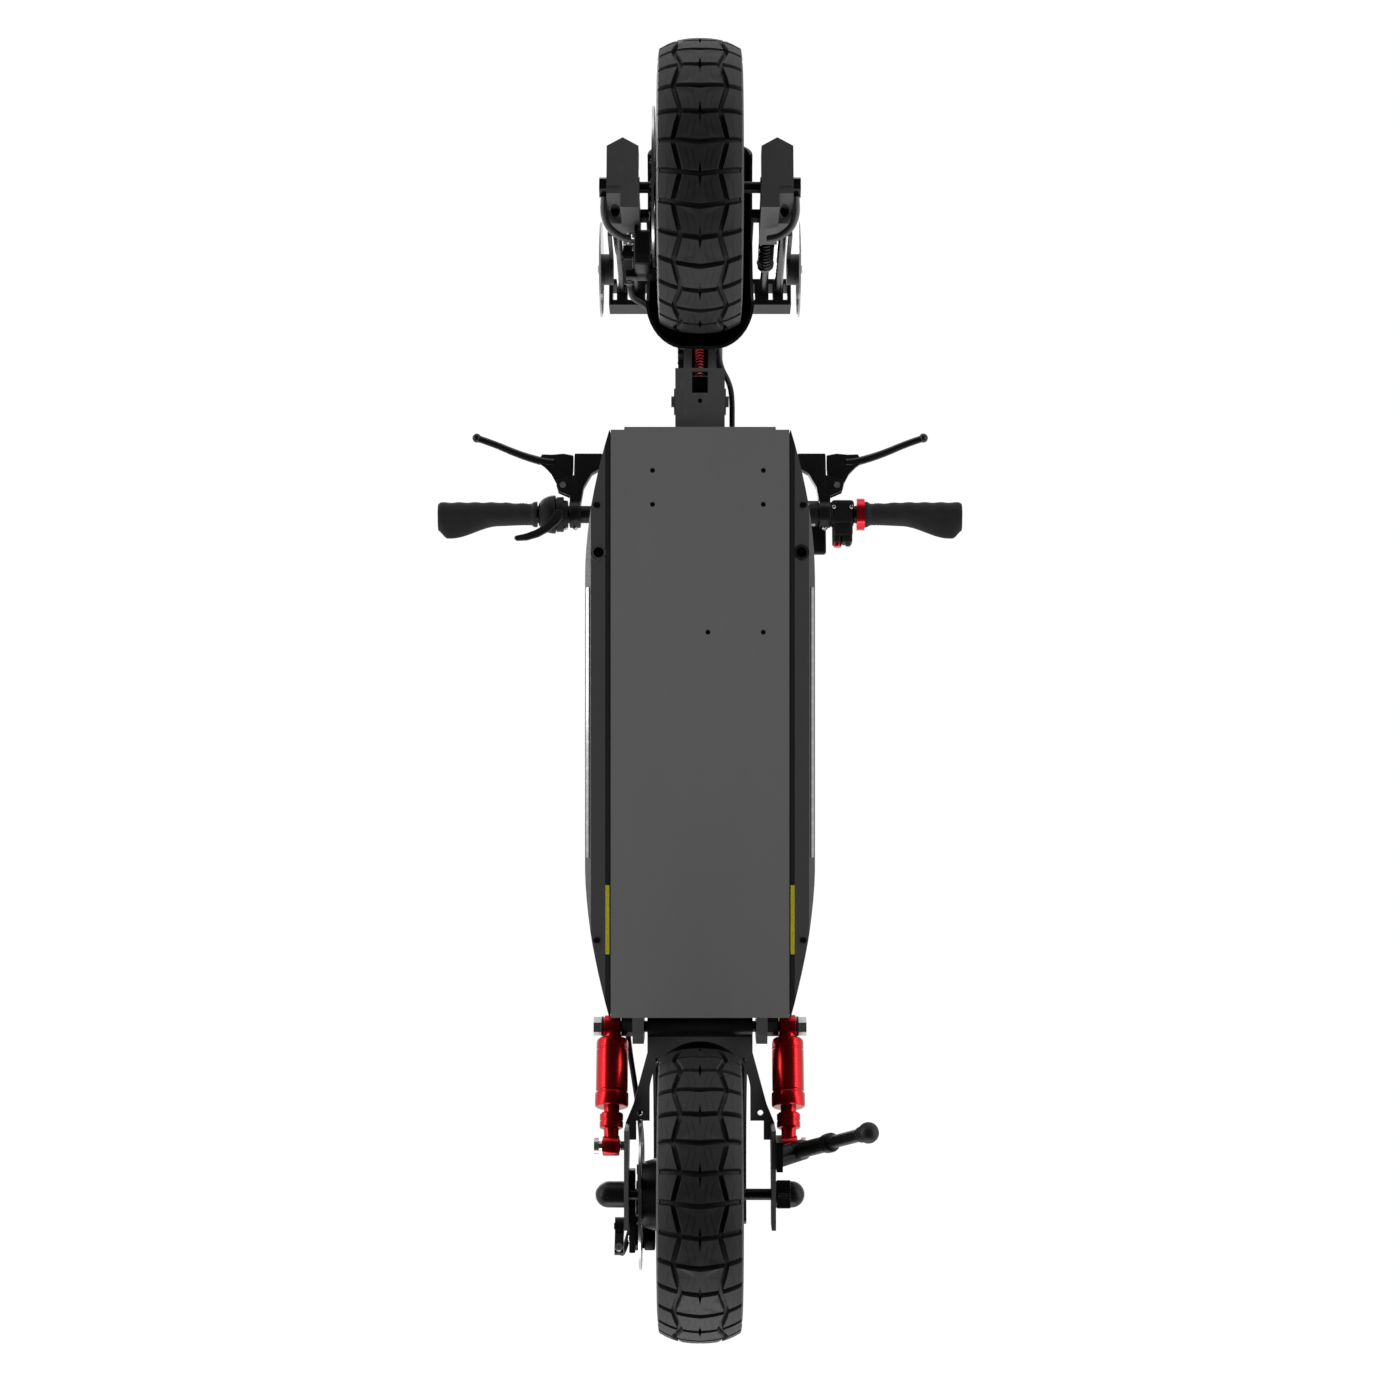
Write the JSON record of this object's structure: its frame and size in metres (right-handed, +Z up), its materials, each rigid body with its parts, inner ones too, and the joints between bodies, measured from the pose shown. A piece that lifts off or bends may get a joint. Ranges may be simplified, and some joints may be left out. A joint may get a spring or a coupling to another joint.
{
  "type": "electric kick scooter",
  "caption": "Folding electric kick scooter with knobbly tyres, sprung fork and swing arm, wide flat deck, disc brakes and a side stand.",
  "frame": {"origin": "on the ground under the middle of the scooter, midway between the two axles and on the centreline", "axes": "+X forward, the way it rides; +Y to the rider's left; +Z up"},
  "size_m": [1.141, 0.656, 1.1352],
  "materials": {
    "deck_metal": "satin dark grey powder coat",
    "plate_metal": "flat grey coated aluminium plate",
    "black_metal": "satin black powder coat",
    "shell_plastic": "textured dark grey moulding",
    "black_plastic": "moulded black plastic",
    "tyre": "black all-terrain tyre rubber",
    "grip_rubber": "soft black rubber",
    "deck_rubber": "ribbed black deck mat",
    "steel": "bright zinc plated steel",
    "disc_steel": "turned stainless steel",
    "rod_steel": "dark ground rod",
    "shock_red": "deep gloss red lacquer",
    "ring_red": "red anodised aluminium",
    "spring_red": "red coated spring steel",
    "reflector_yellow": "yellow reflector plastic",
    "reflector_clear": "clear white reflector plastic",
    "led_dark": "dark tinted light strip",
    "battery_wrap": "blue heat-shrink wrap",
    "controller_case": "ribbed aluminium case"
  },
  "bodies": {
    "chassis": {"deck_frame": "deck_metal", "bottom_plate": "plate_metal", "deck_screws": "black_metal", "side_shell_left": "shell_plastic", "side_shell_right": "shell_plastic", "led_strips": "led_dark", "side_reflectors": "reflector_yellow", "grip_mat": "deck_rubber", "battery_pack": "battery_wrap", "motor_controllers": "controller_case", "charge_ports": "steel", "neck_bracket": "deck_metal", "neck_arm": "black_metal", "neck_spring": "spring_red", "headset_bearings": "steel", "rear_shafts": "steel", "neck_cable": "black_plastic"},
    "fork": {"steerer": "black_metal", "fork_crown": "black_metal", "stanchions": "rod_steel", "fork_springs": "steel"},
    "fork_slider": {"fork_shoes": "deck_metal", "front_axle": "black_metal", "front_fender": "black_plastic", "fork_reflectors": "reflector_clear", "front_caliper": "black_metal", "front_cable": "black_plastic"},
    "front_wheel": {"front_tyre": "tyre", "front_hub": "black_metal", "front_disc": "disc_steel"},
    "front_brake_arm": {"front_caliper_arm": "black_metal"},
    "swing_arm": {"swing_arm": "deck_metal", "rear_fender": "black_plastic", "rear_axle": "black_metal", "rear_caliper": "black_metal", "kick_block": "black_metal", "rear_cable": "black_plastic"},
    "rear_wheel": {"rear_tyre": "tyre", "rear_hub": "black_metal", "rear_disc": "disc_steel"},
    "rear_brake_arm": {"rear_caliper_arm": "black_metal"},
    "shock_bodies": {"shock_bodies": "shock_red"},
    "shock_rods": {"shock_rods": "shock_red"},
    "kickstand": {"kickstand": "black_metal"},
    "stem": {"stem_tube": "black_metal", "handlebar": "black_metal", "grips": "grip_rubber", "grip_rings": "ring_red", "throttle_body": "black_plastic", "display": "black_plastic", "switch_pod": "black_plastic", "lever_brackets": "black_metal", "headlight": "black_plastic", "brake_cables": "black_plastic"},
    "fold_lever": {"fold_lever": "black_metal"},
    "brake_lever_left": {"brake_lever_left": "black_metal"},
    "brake_lever_right": {"brake_lever_right": "black_metal"},
    "throttle_trigger": {"throttle_trigger": "black_plastic"},
    "horn_button": {"horn_button": "ring_red"},
    "light_switch": {"light_switch": "steel"}
  },
  "joints": [
    {"name": "steering", "type": "hinge", "parent": "chassis", "child": "fork", "pos_m": [0.37515, 0, 0.36065], "axis": [-0.1994, 0, 0.9799], "range_deg": [-40, 40]},
    {"name": "stem_fold", "type": "hinge", "parent": "fork", "child": "stem", "pos_m": [0.32383, 0, 0.46247], "axis": [0, -1, 0], "range_deg": [0, 86]},
    {"name": "fold_lock", "type": "hinge", "parent": "fork", "child": "fold_lever", "pos_m": [0.38599, 0, 0.46287], "axis": [0, 1, 0], "range_deg": [0, 105]},
    {"name": "front_suspension", "type": "slide", "parent": "fork", "child": "fork_slider", "axis": [-0.1994, 0, 0.9799], "range_m": [0, 0.03], "stiffness_N_per_m": 9000, "springref_m": -0.04, "deforming": ["fork_springs", "front_cable"]},
    {"name": "front_wheel_spin", "type": "hinge", "parent": "fork_slider", "child": "front_wheel", "pos_m": [0.443, 0, 0.1275], "axis": [0, 1, 0], "continuous": true},
    {"name": "front_brake_arm_turn", "type": "hinge", "parent": "fork_slider", "child": "front_brake_arm", "pos_m": [0.38686, -0.064, 0.14261], "axis": [0, 1, 0], "range_deg": [-1, 24]},
    {"name": "rear_swing", "type": "hinge", "parent": "chassis", "child": "swing_arm", "pos_m": [-0.3, 0, 0.165], "axis": [0, 1, 0], "range_deg": [0, 10], "stiffness_Nm_per_rad": 260, "springref_deg": -20.05, "deforming": ["rear_cable"]},
    {"name": "rear_wheel_spin", "type": "hinge", "parent": "swing_arm", "child": "rear_wheel", "pos_m": [-0.443, 0, 0.1275], "axis": [0, 1, 0], "continuous": true},
    {"name": "rear_brake_arm_turn", "type": "hinge", "parent": "swing_arm", "child": "rear_brake_arm", "pos_m": [-0.479, -0.072, 0.1675], "axis": [0, 1, 0], "range_deg": [-1, 24]},
    {"name": "shock_turn", "type": "hinge", "parent": "chassis", "child": "shock_bodies", "pos_m": [-0.303, 0, 0.19], "axis": [0, 1, 0], "range_deg": [-1, 12]},
    {"name": "shock_stroke", "type": "slide", "parent": "shock_bodies", "child": "shock_rods", "axis": [-0.9297, 0, -0.3682], "range_m": [-0.006, 0.001]},
    {"name": "kickstand_fold", "type": "hinge", "parent": "swing_arm", "child": "kickstand", "pos_m": [-0.404, 0.08, 0.112], "axis": [0.1801, 0.8471, 0.5], "range_deg": [0, 88]},
    {"name": "brake_left", "type": "hinge", "parent": "stem", "child": "brake_lever_left", "pos_m": [0.26001, 0.172, 1.10718], "axis": [-0.1994, 0, 0.9799], "range_deg": [0, 14], "stiffness_Nm_per_rad": 0.8, "springref_deg": -8.59},
    {"name": "brake_right", "type": "hinge", "parent": "stem", "child": "brake_lever_right", "pos_m": [0.26001, -0.172, 1.10718], "axis": [0.1994, 0, -0.9799], "range_deg": [0, 14], "stiffness_Nm_per_rad": 0.8, "springref_deg": -8.59},
    {"name": "throttle", "type": "hinge", "parent": "stem", "child": "throttle_trigger", "pos_m": [0.22473, -0.175, 1.1], "axis": [0, -1, 0], "range_deg": [0, 32], "stiffness_Nm_per_rad": 0.2, "springref_deg": -11.46},
    {"name": "horn_press", "type": "slide", "parent": "stem", "child": "horn_button", "axis": [0.9799, 0, 0.1994], "range_m": [0, 0.0025], "stiffness_N_per_m": 400, "springref_m": -0.001},
    {"name": "light_slide", "type": "slide", "parent": "stem", "child": "light_switch", "axis": [0, 1, 0], "range_m": [-0.0025, 0.0025]}
  ],
  "couplings": [
    {"joint": "shock_turn", "follows": "rear_swing", "ratio": 0.9591},
    {"joint": "shock_stroke", "follows": "rear_swing", "m_per_rad": -0.02477},
    {"joint": "front_brake_arm_turn", "follows": "brake_left", "ratio": 1.5},
    {"joint": "rear_brake_arm_turn", "follows": "brake_right", "ratio": 1.5}
  ]
}
